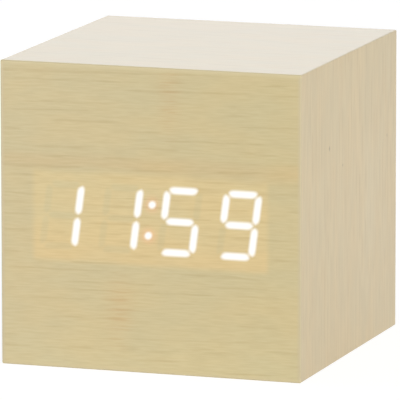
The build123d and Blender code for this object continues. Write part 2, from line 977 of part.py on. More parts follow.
def make_battery_springs():
    coil = make_spring()
    coils = []
    for cell in range(cell_count):
        side = button_side(cell)
        base = -side * (bay_inner_length / 2 - contact_thickness - spring_end_gap - spring_wire / 2)
        turn = Rot(0, 0, 0) if side > 0 else Rot(0, 0, 180)
        coils.append(Pos(base, cell_depth, cell_heights[cell]) * turn * coil)
    return Compound(coils)


def make_contacts(wanted_side):
    plates = []
    for side, low_cell, high_cell, wired in contact_places():
        if side != wanted_side:
            continue
        outer = side * bay_inner_length / 2
        x0, x1 = sorted((outer, outer - side * contact_thickness))
        plate = block(
            x0,
            x1,
            ridge_top + contact_lift,
            cell_depth + contact_rise,
            cell_heights[low_cell] - contact_width / 2,
            cell_heights[high_cell] + contact_width / 2,
        )
        if wired:
            plate += tag_box(side, low_cell, 0)
        plates.append(plate)
    return Compound(plates)


# Insulated wire from a contact's tag, round behind the bay and up to the key board
def make_lead(side, cell):
    tag_x = side * (bay_inner_length / 2 - contact_thickness / 2)
    tag_end = bay_floor - tag_length
    landing_x = side * (post_x - lead_landing)
    points = [
        (tag_x, tag_end, cell_heights[cell]),
        (tag_x, tag_end - lead_drop, cell_heights[cell]),
        (landing_x, tag_end - lead_drop, post_row),
        (landing_x, key_board_front, post_row),
    ]
    route, radii = rounded_route(points)
    print("lead radii", [round(r, 1) for r in radii])
    section = Plane(points[0], z_dir=(0, -1, 0)) * RegularPolygon(lead_radius, lead_sides)
    return sweep(section, path=route)


# Every piece under its own name
pieces = {
    "front_film": make_front_film(),
    "front_panel": make_front_panel(),
    "bottom_panel": make_bottom_panel(),
    "top_panel": Pos(0, 0, case_height) * Rot(0, 180, 0) * mitred_board(case_width),
    "left_panel": Pos(-case_width / 2, 0, case_height / 2) * Rot(0, 90, 0) * mitred_board(case_height),
    "right_panel": Pos(case_width / 2, 0, case_height / 2) * Rot(0, -90, 0) * mitred_board(case_height),
    "corner_blocks": make_corner_blocks(),
    "display_housing": make_display_housing(),
    "lit_segments": make_segments(True),
    "unlit_segments": make_segments(False),
    "colon_dots": make_colon_dots(),
    "display_base": make_display_base(),
    "segment_leds": make_segment_leds(),
    "display_pins": make_display_pins(),
    "display_board": make_display_board(),
    "display_spacers": make_display_spacers(),
    "display_board_screws": make_display_board_screws(),
    "controller_chip": make_controller_chip(),
    "quartz_crystal": make_quartz_crystal(),
    "buzzer": make_buzzer(),
    "capacitor": make_capacitor(),
    "display_socket": make_display_socket(),
    "key_socket": make_key_socket(),
    "ribbon_cable": make_ribbon_cable(),
    "rear_cover": make_rear_cover(),
    "rear_cover_screws": make_rear_cover_screws(),
    "battery_door": make_battery_door(),
    "key_board": make_key_board(),
    "key_board_screws": make_key_board_screws(),
    "dc_jack": make_dc_jack(),
    "dc_jack_pin": make_dc_jack_pin(),
    "battery_springs": make_battery_springs(),
    "left_contacts": make_contacts(-1),
    "right_contacts": make_contacts(1),
    "positive_lead": make_lead(-1, cell_count - 1),
    "negative_lead": make_lead(1, 0),
}
for name, x in zip(button_names, button_xs):
    pieces[name + "_button"] = make_button(x)
    pieces[name + "_plunger"] = make_plunger(x)
    pieces[name + "_switch"] = make_switch(x)
for cell in range(cell_count):
    pieces["battery_" + str(cell + 1)] = make_battery(cell)

print("case", round(case_width, 2), round(case_depth, 2), round(case_height, 2))
print_spring_gap()
os.makedirs("parts", exist_ok=True)
for name, shape in pieces.items():
    export_step(shape, "parts/" + name + ".step")
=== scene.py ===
import math
import bmesh
import bpy
from mathutils import Matrix, Quaternion, Vector


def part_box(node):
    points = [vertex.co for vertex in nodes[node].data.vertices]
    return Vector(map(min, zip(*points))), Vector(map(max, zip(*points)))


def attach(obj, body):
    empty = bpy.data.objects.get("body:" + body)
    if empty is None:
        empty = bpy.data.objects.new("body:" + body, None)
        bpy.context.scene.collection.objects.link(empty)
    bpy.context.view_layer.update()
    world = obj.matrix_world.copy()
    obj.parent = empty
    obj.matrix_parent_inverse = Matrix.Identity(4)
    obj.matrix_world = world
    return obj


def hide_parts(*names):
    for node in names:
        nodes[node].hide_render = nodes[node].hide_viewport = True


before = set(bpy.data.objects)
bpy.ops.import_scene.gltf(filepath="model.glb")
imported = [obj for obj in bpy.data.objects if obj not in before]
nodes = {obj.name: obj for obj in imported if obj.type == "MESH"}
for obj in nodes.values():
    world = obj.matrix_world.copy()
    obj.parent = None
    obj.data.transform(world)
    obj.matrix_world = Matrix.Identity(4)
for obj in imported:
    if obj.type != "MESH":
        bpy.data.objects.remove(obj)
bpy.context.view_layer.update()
scene = bpy.context.scene
mm = 0.001

# places that the frame gives
filmLow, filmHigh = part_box("front_film")
caseHalf = filmHigh.x
caseMiddle = (filmLow.z + filmHigh.z) / 2
caseRise = (filmHigh.z - filmLow.z) / 2


# small tools for building node trees

def feed(tree, socket, value):
    if isinstance(value, bpy.types.NodeSocket):
        tree.links.new(value, socket)
    else:
        socket.default_value = value


def addNode(tree, kind, inputs=None, **settings):
    node = tree.nodes.new(kind)
    for name, value in settings.items():
        setattr(node, name, value)
    for key, value in (inputs or {}).items():
        feed(tree, node.inputs[key], value)
    return node


def calc(tree, operation, *values):
    return addNode(tree, "ShaderNodeMath", dict(enumerate(values)), operation=operation).outputs[0]


def ease(tree, value, start, end, low=0.0, high=1.0):
    inputs = {"Value": value, "From Min": start, "From Max": end, "To Min": low, "To Max": high}
    return addNode(tree, "ShaderNodeMapRange", inputs, interpolation_type="SMOOTHSTEP").outputs[0]


def spread(tree, value, low, high):
    return addNode(tree, "ShaderNodeMapRange", {"Value": value, "To Min": low, "To Max": high}).outputs[0]


def stretch(tree, coords, scales):
    return addNode(tree, "ShaderNodeVectorMath", {0: coords, 1: scales}, operation="MULTIPLY").outputs[0]


def noise(tree, coords, scale, detail=2.0, rough=0.5):
    inputs = {"Vector": coords, "Scale": scale, "Detail": detail, "Roughness": rough}
    return addNode(tree, "ShaderNodeTexNoise", inputs).outputs[0]


def tint(tree, share, colour, other, blend="MIX"):
    inputs = {0: share, 6: colour, 7: other}
    return addNode(tree, "ShaderNodeMix", inputs, data_type="RGBA", blend_type=blend).outputs[2]


def paint(red, green, blue):
    return (red, green, blue, 1.0)


# a colour times a tone, as far as the share says
def toned(tree, share, colour, tone):
    return tint(tree, share, colour, paint(*tone), "MULTIPLY")


def shaded(colour, factor):
    return paint(*(min(1.0, part * factor) for part in colour))


def splitCoords(tree, coords):
    return addNode(tree, "ShaderNodeSeparateXYZ", {0: coords}).outputs


def offset(tree, value, middle):
    return calc(tree, "SUBTRACT", value, middle)


def meanOf(tree, one, other):
    return calc(tree, "MULTIPLY_ADD", one, 0.5, calc(tree, "MULTIPLY", other, 0.5))


def reach(tree, across, up):
    return calc(tree, "SQRT", calc(tree, "MULTIPLY_ADD", across, across, calc(tree, "MULTIPLY", up, up)))


# 1 in the middle of an oval patch, 0 outside it; a spot is its middle and its reaches in mm
def softSpot(tree, across, up, spot):
    middleAcross, middleUp, reachAcross, reachUp = spot
    along = calc(tree, "DIVIDE", offset(tree, across, middleAcross * mm), reachAcross * mm)
    rise = calc(tree, "DIVIDE", offset(tree, up, middleUp * mm), reachUp * mm)
    return ease(tree, reach(tree, along, rise), 1.0, 0.0)


def startMaterial(name):
    material = bpy.data.materials.new(name)
    material.use_nodes = True
    material.node_tree.nodes.clear()
    coords = addNode(material.node_tree, "ShaderNodeTexCoord").outputs["Object"]
    return material, material.node_tree, coords


# lift is the relief's height in mm
def closeMaterial(tree, colour, rough, height, lift, metallic=0.0):
    shader = addNode(tree, "ShaderNodeBsdfPrincipled", {"Base Color": colour, "Roughness": rough})
    shader.inputs["Metallic"].default_value = metallic
    bump = addNode(tree, "ShaderNodeBump", {"Height": height, "Distance": lift * mm, "Strength": 1.0})
    tree.links.new(bump.outputs[0], shader.inputs["Normal"])
    output = addNode(tree, "ShaderNodeOutputMaterial")
    tree.links.new(shader.outputs[0], output.inputs[0])
    return shader


# camera, lamps, world and floor

cameraSet = {
    "place": (0.43687, -1.27852, 0.26986),
    "target": (-0.0002, -0.00024, 0.03025),
    "lens": 599.88,
    "sensor": 36.0,
    "rollDegrees": -0.059,
    "clip": (0.05, 20.0),
}
lampSet = {
    "key": {"toward": (0.60, -0.60, 0.25), "distance": 1.3, "size": 1.1, "power": 12.1, "mirrored": False},
    "back": {"toward": (-0.30, 0.87, 0.28), "distance": 1.5, "size": 1.3, "power": 3.8, "mirrored": True},
    "left": {"toward": (-0.95, -0.05, 0.30), "distance": 1.5, "size": 1.1, "power": 5.5, "mirrored": True},
    "fill": {"toward": (-0.55, -0.80, 0.0), "distance": 0.34, "size": 0.2, "power": 0.13, "mirrored": True},
}
worldSet = {"ambient": 0.36, "shown": 1.0}
floorSet = {"half": 3.0, "colour": (0.92, 0.92, 0.915), "whiteShare": 0.72, "white": 1.175}


def makeCamera(spec):
    camera = bpy.data.objects.new("camera", bpy.data.cameras.new("camera"))
    scene.collection.objects.link(camera)
    camera.data.lens = spec["lens"]
    camera.data.sensor_width = spec["sensor"]
    camera.data.clip_start, camera.data.clip_end = spec["clip"]
    place = Vector(spec["place"])
    aim = (Vector(spec["target"]) - place).to_track_quat("-Z", "Y")
    camera.location = place
    camera.rotation_mode = "QUATERNION"
    camera.rotation_quaternion = aim @ Quaternion((0, 0, 1), math.radians(spec["rollDegrees"]))
    scene.camera = camera


def makeLamp(name, spec):
    lamp = bpy.data.objects.new(name, bpy.data.lights.new(name, "AREA"))
    scene.collection.objects.link(lamp)
    lamp.data.shape = "DISK"
    lamp.data.size = spec["size"]
    lamp.data.energy = spec["power"]
    toward = Vector(spec["toward"]).normalized()
    lamp.location = toward * spec["distance"] + Vector((0, 0, caseMiddle))
    lamp.rotation_euler = toward.to_track_quat("Z", "Y").to_euler()
    lamp.visible_glossy = spec["mirrored"]


# 1 for rays that see the surroundings straight or in a mirror, 0 for rays that gather light
def seenDirectly(tree):
    rays = addNode(tree, "ShaderNodeLightPath").outputs
    seen = calc(tree, "MAXIMUM", rays["Is Camera Ray"], rays["Is Glossy Ray"])
    return calc(tree, "MAXIMUM", seen, rays["Is Transmission Ray"])


def makeWorld(spec):
    world = bpy.data.worlds.new("whiteRoom")
    world.use_nodes = True
    tree = world.node_tree
    tree.nodes.clear()
    white = paint(1, 1, 1)
    soft = addNode(tree, "ShaderNodeBackground", {0: white, 1: spec["ambient"]}).outputs[0]
    shown = addNode(tree, "ShaderNodeBackground", {0: white, 1: spec["shown"]}).outputs[0]
    mixed = addNode(tree, "ShaderNodeMixShader", {0: seenDirectly(tree), 1: soft, 2: shown}).outputs[0]
    addNode(tree, "ShaderNodeOutputWorld", {0: mixed})
    scene.world = world


def makeFloor(spec):
    floor = bpy.data.objects.new("floor", bpy.data.meshes.new("floor"))
    half = spec["half"]
    corners = [(-half, -half, 0), (half, -half, 0), (half, half, 0), (-half, half, 0)]
    floor.data.from_pydata(corners, [], [(0, 1, 2, 3)])
    scene.collection.objects.link(floor)
    material = bpy.data.materials.new("paleFloor")
    material.use_nodes = True
    tree = material.node_tree
    tree.nodes.clear()
    matt = addNode(tree, "ShaderNodeBsdfDiffuse", {"Color": paint(*spec["colour"])}).outputs[0]
    glow = {"Color": paint(1, 1, 1), "Strength": spec["white"]}
    white = addNode(tree, "ShaderNodeEmission", glow).outputs[0]
    share = calc(tree, "MULTIPLY", seenDirectly(tree), spec["whiteShare"])
    mixed = addNode(tree, "ShaderNodeMixShader", {0: share, 1: matt, 2: white}).outputs[0]
    addNode(tree, "ShaderNodeOutputMaterial", {0: mixed})
    floor.data.materials.append(material)


scene.view_settings.view_transform = "Standard"
makeCamera(cameraSet)
for lampName, lampSpec in lampSet.items():
    makeLamp(lampName + "Lamp", lampSpec)
makeWorld(worldSet)
makeFloor(floorSet)
print("camera, lamps and floor set")


# printed wood film; noise scales are (along, across) the grain, widths and heights in mm

woodFilm = {
    "base": (0.641, 0.538, 0.2995),
    "acrossGrain": {"front": "Z", "upright": "Y", "across": "Y"},
    "streakRough": 0.55,
    "fine": {"front": (240.0, 2500.0), "upright": (110.0, 700.0), "across": (170.0, 3200.0)},
    "fineDetail": 1.5,
    "fineShare": (0.28, 0.72),
    "darkGrain": (0.961, 0.950, 0.928),
    "lightGrain": (1.027, 1.030, 1.042),
    "mottle": (55.0, 130.0),
    "mottleDetail": 2.5,
    "mottleShare": (0.3, 0.7),
    "coolTint": (0.975, 0.99, 1.0),
    "warmTint": (1.02, 1.0, 0.965),
    "linePitch": 1.95,
    "lineHalf": 0.42,
    "lineStray": 1.1,
    "lineDepth": 0.6,
    "lineTint": (0.930, 0.910, 0.874),
    "waver": (12.0, 330.0),
    "waverDetail": 1.0,
    "gaps": (90.0, 700.0),
    "gapDetail": 2.0,
    "gapShare": (0.46, 0.58),
    "roughness": (0.27, 0.36),
    "lift": 0.02,
    "thickness": 0.4,
    "edge": 1.1,
    "edgeRough": 0.50,
    # the two edge colours below are painted light: shade along the side edges and a highlight along the top
    # and bottom edges
    "sideEdgeShade": (0.605, 0.512, 0.328),
    "topEdgeHighlight": (0.662, 0.564, 0.338),
}


# streaks that run along one axis
def streaks(tree, coords, axis, scales, detail):
    along, across = scales
    stretched = stretch(tree, coords, tuple(along if letter == axis else across for letter in "xyz"))
    return noise(tree, stretched, 1.0, detail, woodFilm["streakRough"])


# thin dark lines side by side along one axis, broken off here and there
def grainLines(tree, coords, axis, face):
    spec = woodFilm
    across = splitCoords(tree, coords)[spec["acrossGrain"][face]]
    place = calc(tree, "DIVIDE", across, spec["linePitch"] * mm)
    waver = streaks(tree, coords, axis, spec["waver"], spec["waverDetail"])
    strayed = calc(tree, "MULTIPLY_ADD", waver, spec["lineStray"], place)
    fromLine = calc(tree, "PINGPONG", strayed, 0.5)  # in pitches, at most half of one
    line = ease(tree, fromLine, spec["lineHalf"] / spec["linePitch"], 0.0)
    gaps = streaks(tree, coords, axis, spec["gaps"], spec["gapDetail"])
    return calc(tree, "MULTIPLY", line, ease(tree, gaps, *spec["gapShare"]))


# colour, roughness and height of the film, its grain running along one axis
def filmFinish(tree, coords, axis, face):
    spec = woodFilm
    fine = streaks(tree, coords, axis, spec["fine"][face], spec["fineDetail"])
    fineShare = ease(tree, fine, *spec["fineShare"])
    grain = tint(tree, fineShare, paint(*spec["darkGrain"]), paint(*spec["lightGrain"]))
    colour = tint(tree, 1.0, paint(*spec["base"]), grain, "MULTIPLY")
    line = grainLines(tree, coords, axis, face)
    colour = toned(tree, line, colour, spec["lineTint"])
    mottle = streaks(tree, coords, axis, spec["mottle"], spec["mottleDetail"])
    mottleShare = ease(tree, mottle, *spec["mottleShare"])
    cast = tint(tree, mottleShare, paint(*spec["coolTint"]), paint(*spec["warmTint"]))
    colour = tint(tree, 1.0, colour, cast, "MULTIPLY")
    rough = spread(tree, fine, *spec["roughness"])
    height = calc(tree, "SUBTRACT", fine, calc(tree, "MULTIPLY", line, spec["lineDepth"]))
    return colour, rough, height


# distances in from the case's side faces, and from its top and bottom
def skinDepths(tree, x, z):
    side = calc(tree, "SUBTRACT", caseHalf, calc(tree, "ABSOLUTE", x))
    level = calc(tree, "SUBTRACT", caseRise, calc(tree, "ABSOLUTE", offset(tree, z, caseMiddle)))
    return side, level


# figures; a segment's light is a bar with slanted ends, sizes in mm from the figure's middle

figureForm = {
    "shown": ("bc", "bc", "acdfg", "abcdfg"),
    "pitch": 12.583,
    "column": 3.387,
    "row": 6.361,
    "halfWidth": 0.716,
    "levelHalf": 3.02,
    "middleHalf": 2.922,
    "uprightFrom": 0.384,
    "uprightTo": 6.159,
    "endSlope": 0.38,
    "tipShift": 0.26,
    "cornerSoft": 1.2,
    "lean": 0.1324,
    "shift": 0.061,
    "lift": 0.144,
    "dotRadius": 0.728,
    "blur": 0.4,
}
figureLight = {"colour": (1.0, 0.985, 0.95), "strength": 0.93, "body": (0.10, 0.097, 0.09)}


# distance past a bar's end, which is slanted on both sides of a tip
def slantedEnd(tree, across, past, tip):
    slope = figureForm["endSlope"]
    fromTip = calc(tree, "ABSOLUTE", offset(tree, across, tip))
    slanted = calc(tree, "MULTIPLY_ADD", fromTip, slope, past)
    return calc(tree, "DIVIDE", slanted, math.hypot(1.0, slope))


# 1 inside one segment and 0 outside, softened where its light spreads in the film; tips at the
# figure's corners lie outward of the bar's middle line
def segmentLight(tree, letter, x, z):
    spec = figureForm
    if letter in "bcef":
        across = calc(tree, "MULTIPLY_ADD", x, 1.0 if letter in "bc" else -1.0, -spec["column"])
        along = calc(tree, "MULTIPLY", z, 1.0 if letter in "bf" else -1.0)
        corner = slantedEnd(tree, across, offset(tree, along, spec["uprightTo"]), spec["tipShift"])
        inner = slantedEnd(tree, across, calc(tree, "SUBTRACT", spec["uprightFrom"], along), 0.0)
        ends = [corner, inner]
    elif letter == "g":
        across = z
        past = offset(tree, calc(tree, "ABSOLUTE", x), spec["middleHalf"])
        ends = [slantedEnd(tree, across, past, 0.0)]
    else:
        across = calc(tree, "MULTIPLY_ADD", z, 1.0 if letter == "a" else -1.0, -spec["row"])
        past = offset(tree, calc(tree, "ABSOLUTE", x), spec["levelHalf"])
        ends = [slantedEnd(tree, across, past, spec["tipShift"])]
    edge = offset(tree, calc(tree, "ABSOLUTE", across), spec["halfWidth"])
    for end in ends:
        edge = calc(tree, "SMOOTH_MAX", edge, end, spec["cornerSoft"])
    return ease(tree, edge, spec["blur"], -spec["blur"])


# how brightly the film is lit from behind, and where unlit segments show through it, at a place in mm
def figureMasks(tree, x, z):
    spec = figureForm
    across = calc(tree, "MULTIPLY_ADD", z, -spec["lean"], offset(tree, x, spec["shift"]))
    glow, ghost = 0.0, 0.0
    for digit, shown in enumerate(spec["shown"]):
        middle = (digit + 0.5 - len(spec["shown"]) / 2) * spec["pitch"]
        inDigit = offset(tree, across, middle)
        for letter in "abcdefg":
            light = segmentLight(tree, letter, inDigit, z)
            if letter in shown:
                glow = calc(tree, "ADD", glow, light)
            else:
                ghost = calc(tree, "ADD", ghost, light)
    for rise in (1, -1):
        fromDot = reach(tree, across, offset(tree, z, rise * spec["row"] / 2))
        edge = offset(tree, fromDot, spec["dotRadius"])
        glow = calc(tree, "ADD", glow, ease(tree, edge, spec["blur"], -spec["blur"]))
    return calc(tree, "MINIMUM", glow, 1.0), calc(tree, "MINIMUM", ghost, 1.0)


# front film

frontMarks = {
    "grainSlant": 0.022,
    # the next three tones are painted light: a sheen on the left, shade towards the top and brighter light
    # towards the foot
    "leftSheen": (1.012, 1.010, 1.045),
    "topShade": (0.948, 0.950, 0.945),
    "footLight": (1.010, 1.034, 1.062),
    "footFrom": 0.62,
    "rays": [(4.2, 56.5, 3.8, 13.0), (-6.5, 13.0, 4.5, 12.0)],
    "rayTint": (1.0, 0.910, 0.865),
    "fleckFrom": (0.55, 0.25),
    "fleckShare": (0.35, 1.0),
    "bandMiddle": 11.2,
    "bandHalf": 2.6,
    "bandDrift": 1.2,
    "bandWaver": (60.0, 0.0, 300.0),
    "bandDetail": 3.0,
    "bandTint": (1.01, 0.955, 0.915),
    "windowHalf": (25.0, 9.2),
    "windowSoft": 0.9,
    # the window's two tints below are the display's glow painted into the film's colour
    "windowGlow": {"left": (1.105, 1.066, 0.988), "right": (1.130, 1.072, 1.000)},
    "windowGlowFoot": (1.020, 0.985, 0.962),
    "haloReach": 2.6,
    "haloTint": (1.19, 0.99, 1.06),
    "ghostTint": (0.942, 0.970, 1.005),
}


# painted light: a sheen on the left, shade towards the top and brighter light towards the foot
def paintFrontLight(tree, colour, rightward, up):
    marks = frontMarks
    colour = tint(tree, rightward, toned(tree, 1.0, colour, marks["leftSheen"]), colour)
    colour = toned(tree, ease(tree, up, -caseRise, caseRise), colour, marks["topShade"])
    paintedFootShare = ease(tree, up, -caseRise * marks["footFrom"], -caseRise)
    return toned(tree, paintedFootShare, colour, marks["footLight"])


# patches of rays, broken up by the grain, and a darker band above the window
def markFront(tree, colour, coords, up, height):
    marks = frontMarks
    x, y, z = splitCoords(tree, coords)
    flecks = ease(tree, height, *marks["fleckFrom"], *marks["fleckShare"])
    for ray in marks["rays"]:
        broken = calc(tree, "MULTIPLY", softSpot(tree, x, z, ray), flecks)
        colour = toned(tree, broken, colour, marks["rayTint"])
    waver = noise(tree, stretch(tree, coords, marks["bandWaver"]), 1.0, marks["bandDetail"])
    drift = spread(tree, waver, -marks["bandDrift"] * mm, marks["bandDrift"] * mm)
    bandPlace = calc(tree, "ADD", offset(tree, up, marks["bandMiddle"] * mm), drift)
    band = ease(tree, calc(tree, "ABSOLUTE", bandPlace), marks["bandHalf"] * mm, 0.0)
    return toned(tree, band, colour, marks["bandTint"])


# painted glow: the display's light through the film, painted into the window as a warmer, brighter tint than
# the film round it
def paintWindowGlow(tree, colour, x, up, rightward):
    marks = frontMarks
    soft = marks["windowSoft"] * mm
    window = 1.0
    for value, half in zip((x, up), marks["windowHalf"]):
        inside = ease(tree, calc(tree, "ABSOLUTE", value), half * mm + soft, half * mm - soft)
        window = calc(tree, "MULTIPLY", window, inside)
    windowGlowTint = tint(tree, rightward, paint(*marks["windowGlow"]["left"]), paint(*marks["windowGlow"]["right"]))
    paintedFootShare = ease(tree, up, 0.0, -marks["windowHalf"][1] * mm)
    windowGlowTint = toned(tree, paintedFootShare, windowGlowTint, marks["windowGlowFoot"])
    return tint(tree, window, colour, windowGlowTint, "MULTIPLY")


# reddish light round the two dots
def addHalos(tree, colour, x, up):
    spec = figureForm
    halfSize = frontMarks["haloReach"]
    for rise in (1, -1):
        dotUp = rise * spec["row"] / 2
        dot = (spec["shift"] + spec["lean"] * dotUp, dotUp + spec["lift"], halfSize, halfSize)
        colour = toned(tree, softSpot(tree, x, up, dot), colour, frontMarks["haloTint"])
    return colour


# front film and the lenses in it; figures shine through, unlit segments show as faint ghosts
def makeFrontFilm(name):
    material, tree, coords = startMaterial(name)
    x, y, z = splitCoords(tree, coords)
    up = offset(tree, z, caseMiddle)
    slanted = calc(tree, "MULTIPLY_ADD", x, -frontMarks["grainSlant"], z)
    sheet = addNode(tree, "ShaderNodeCombineXYZ", {0: x, 1: y, 2: slanted}).outputs[0]
    colour, rough, height = filmFinish(tree, sheet, "x", "front")
    rightward = ease(tree, x, -caseHalf, caseHalf)
    colour = paintFrontLight(tree, colour, rightward, up)
    colour = markFront(tree, colour, coords, up, height)
    colour = paintWindowGlow(tree, colour, x, up, rightward)
    colour = addHalos(tree, colour, x, up)
    figureUp = offset(tree, calc(tree, "DIVIDE", up, mm), figureForm["lift"])
    glow, ghost = figureMasks(tree, calc(tree, "DIVIDE", x, mm), figureUp)
    colour = toned(tree, ghost, colour, frontMarks["ghostTint"])
    # painted edge light: a darker tint along the side edges, where their rounding is in shade, and a paler
    # highlight along the top and bottom edges; both edges also get rougher
    for depth, edgeLightTint in zip(skinDepths(tree, x, z), (woodFilm["sideEdgeShade"], woodFilm["topEdgeHighlight"])):
        edgeLightShare = ease(tree, depth, woodFilm["edge"] * mm, 0.0)
        colour = tint(tree, edgeLightShare, colour, paint(*edgeLightTint))
        rough = calc(tree, "MAXIMUM", rough, calc(tree, "MULTIPLY", edgeLightShare, woodFilm["edgeRough"]))
    colour = tint(tree, glow, colour, paint(*figureLight["body"]))
    shader = closeMaterial(tree, colour, rough, height, woodFilm["lift"])
    shader.inputs["Emission Color"].default_value = paint(*figureLight["colour"])
    feed(tree, shader.inputs["Emission Strength"], calc(tree, "MULTIPLY", glow, figureLight["strength"]))
    return material


# boards: film on the outer face, raw fibre board where the film ends

# painted light: each board direction gets its own film tint, graded from front to rear, for how the sides
# and the top are lit; the bluer tint on the across boards stands in for the top's pale sheen
paintedBoardLight = {
    "upright": {"front": (0.995, 0.948, 0.978), "rear": (1.020, 0.975, 1.024)},
    "across": {"front": (0.967, 0.973, 1.146), "rear": (0.967, 0.971, 1.170)},
}
sideMarks = {
    "pale": [(8.0, 31.0, 100.0, 34.0), (13.0, 27.0, 5.5, 24.0)],
    "paleTint": (1.026, 1.035, 1.060),
    "pores": [(-13.5, 44.8, 0.55, 0.8), (-4.6, 40.0, 0.3, 0.5), (25.6, 41.4, 0.25, 0.6)],
    "poreTint": (0.55, 0.50, 0.45),
}
rawBoard = {
    "pale": (0.47, 0.345, 0.215),
    "deep": (0.36, 0.25, 0.145),
    "fibre": 900.0,
    "fibreDetail": (4.0, 0.7),
    "fibreShare": (0.3, 0.7),
    "clump": 160.0,
    "clumpShare": 0.35,
    "filmEnd": 0.92,
    "rougher": 0.45,
    "coarser": 3.0,
}


def makeBoard(name, axis, face, marks=None):
    material, tree, coords = startMaterial(name)
    x, y, z = splitCoords(tree, coords)
    film, filmRough, filmHeight = filmFinish(tree, coords, axis, face)
    # painted light: the film is tinted from front to rear by the board direction's own lit tint
    rearward = ease(tree, y, -caseHalf, caseHalf)
    cast = tint(tree, rearward, paint(*paintedBoardLight[face]["front"]), paint(*paintedBoardLight[face]["rear"]))
    film = tint(tree, 1.0, film, cast, "MULTIPLY")
    if marks:
        for spots, spotTint in (("pale", "paleTint"), ("pores", "poreTint")):
            for spot in marks[spots]:
                film = toned(tree, softSpot(tree, y, z, spot), film, marks[spotTint])
    spec = rawBoard
    fibre = noise(tree, coords, spec["fibre"], *spec["fibreDetail"])
    clump = noise(tree, coords, spec["clump"])
    raw = tint(tree, ease(tree, fibre, *spec["fibreShare"]), paint(*spec["deep"]), paint(*spec["pale"]))
    raw = tint(tree, spread(tree, clump, 0.0, spec["clumpShare"]), raw, paint(*spec["pale"]))
    thickness = woodFilm["thickness"] * mm
    depth = calc(tree, "MINIMUM", *skinDepths(tree, x, z))
    inside = ease(tree, depth, thickness * spec["filmEnd"], thickness)
    rough = calc(tree, "MULTIPLY_ADD", inside, spec["rougher"], filmRough)
    coarse = calc(tree, "MULTIPLY", inside, calc(tree, "MULTIPLY", fibre, spec["coarser"]))
    height = calc(tree, "ADD", filmHeight, coarse)
    closeMaterial(tree, tint(tree, inside, film, raw), rough, height, woodFilm["lift"])
    return material


# moulded plastics; pale is how far the sparkle lightens the colour

plastics = {
    "coverBlack": {"colour": (0.016, 0.016, 0.017), "pale": 2.1, "rough": (0.42, 0.58), "spark": 2600.0},
    "doorBlack": {"colour": (0.018, 0.018, 0.019), "pale": 2.0, "rough": (0.40, 0.55), "spark": 2300.0},
    "buttonBlack": {"colour": (0.022, 0.022, 0.024), "pale": 2.0, "rough": (0.26, 0.36), "spark": 1500.0},
    "inletBlack": {"colour": (0.012, 0.012, 0.012), "pale": 2.1, "rough": (0.30, 0.42), "spark": 1800.0},
    "displayBlack": {"colour": (0.014, 0.014, 0.015), "pale": 2.0, "rough": (0.45, 0.60), "spark": 2000.0},
    "chipBlack": {"colour": (0.020, 0.020, 0.021), "pale": 2.0, "rough": (0.50, 0.65), "spark": 4000.0},
    "buzzerBlack": {"colour": (0.018, 0.018, 0.018), "pale": 2.2, "rough": (0.35, 0.50), "spark": 1600.0},
    "socketWhite": {"colour": (0.72, 0.70, 0.63), "pale": 1.12, "rough": (0.40, 0.50), "spark": 1500.0},
    "plungerWhite": {"colour": (0.66, 0.66, 0.64), "pale": 1.1, "rough": (0.35, 0.45), "spark": 1300.0},
    "switchGrey": {"colour": (0.080, 0.080, 0.085), "pale": 1.5, "rough": (0.40, 0.50), "spark": 1800.0},
    "wireRed": {"colour": (0.42, 0.02, 0.015), "pale": 1.3, "rough": (0.35, 0.45), "spark": 900.0},
    "wireBlack": {"colour": (0.015, 0.015, 0.016), "pale": 2.2, "rough": (0.35, 0.45), "spark": 900.0},
    "canSleeve": {"colour": (0.020, 0.035, 0.090), "pale": 1.6, "rough": (0.30, 0.40), "spark": 700.0},
    "ledChip": {"colour": (0.62, 0.60, 0.42), "pale": 1.2, "rough": (0.30, 0.45), "spark": 3000.0},
}
mouldGrain = {
    "detail": (3.0, 0.6),
    "sparkShare": (0.45, 0.75),
    "broad": 70.0,
    "broadShare": (0.3, 0.9),
    "lift": 0.02,
}


def makePlastic(name, spec):
    material, tree, coords = startMaterial(name)
    spark = noise(tree, coords, spec["spark"], *mouldGrain["detail"])
    broad = noise(tree, coords, mouldGrain["broad"], *mouldGrain["detail"])
    sparkShare = ease(tree, spark, *mouldGrain["sparkShare"])
    share = calc(tree, "MULTIPLY", sparkShare, spread(tree, broad, *mouldGrain["broadShare"]))
    colour = tint(tree, share, paint(*spec["colour"]), shaded(spec["colour"], spec["pale"]))
    rough = spread(tree, meanOf(tree, spark, broad), *spec["rough"])
    closeMaterial(tree, colour, rough, spark, mouldGrain["lift"])
    return material


# metals; dull is how far the clouding darkens the colour

metals = {
    "plainSteel": {"colour": (0.56, 0.56, 0.55), "dull": 0.72, "rough": (0.22, 0.38), "grain": 700.0},
    "springSteel": {"colour": (0.60, 0.60, 0.58), "dull": 0.77, "rough": (0.18, 0.30), "grain": 1500.0},
    "nickelPlate": {"colour": (0.66, 0.63, 0.57), "dull": 0.80, "rough": (0.16, 0.28), "grain": 900.0},
    "tinnedPin": {"colour": (0.64, 0.64, 0.63), "dull": 0.78, "rough": (0.25, 0.40), "grain": 1500.0},
    "brassPin": {"colour": (0.72, 0.62, 0.42), "dull": 0.75, "rough": (0.18, 0.30), "grain": 1200.0},
}
metalGrain = {
    "stretch": (1.0, 1.0, 0.15),
    "detail": (3.0, 0.6),
    "share": (0.35, 0.7),
    "cloud": 120.0,
    "lift": 0.004,
}


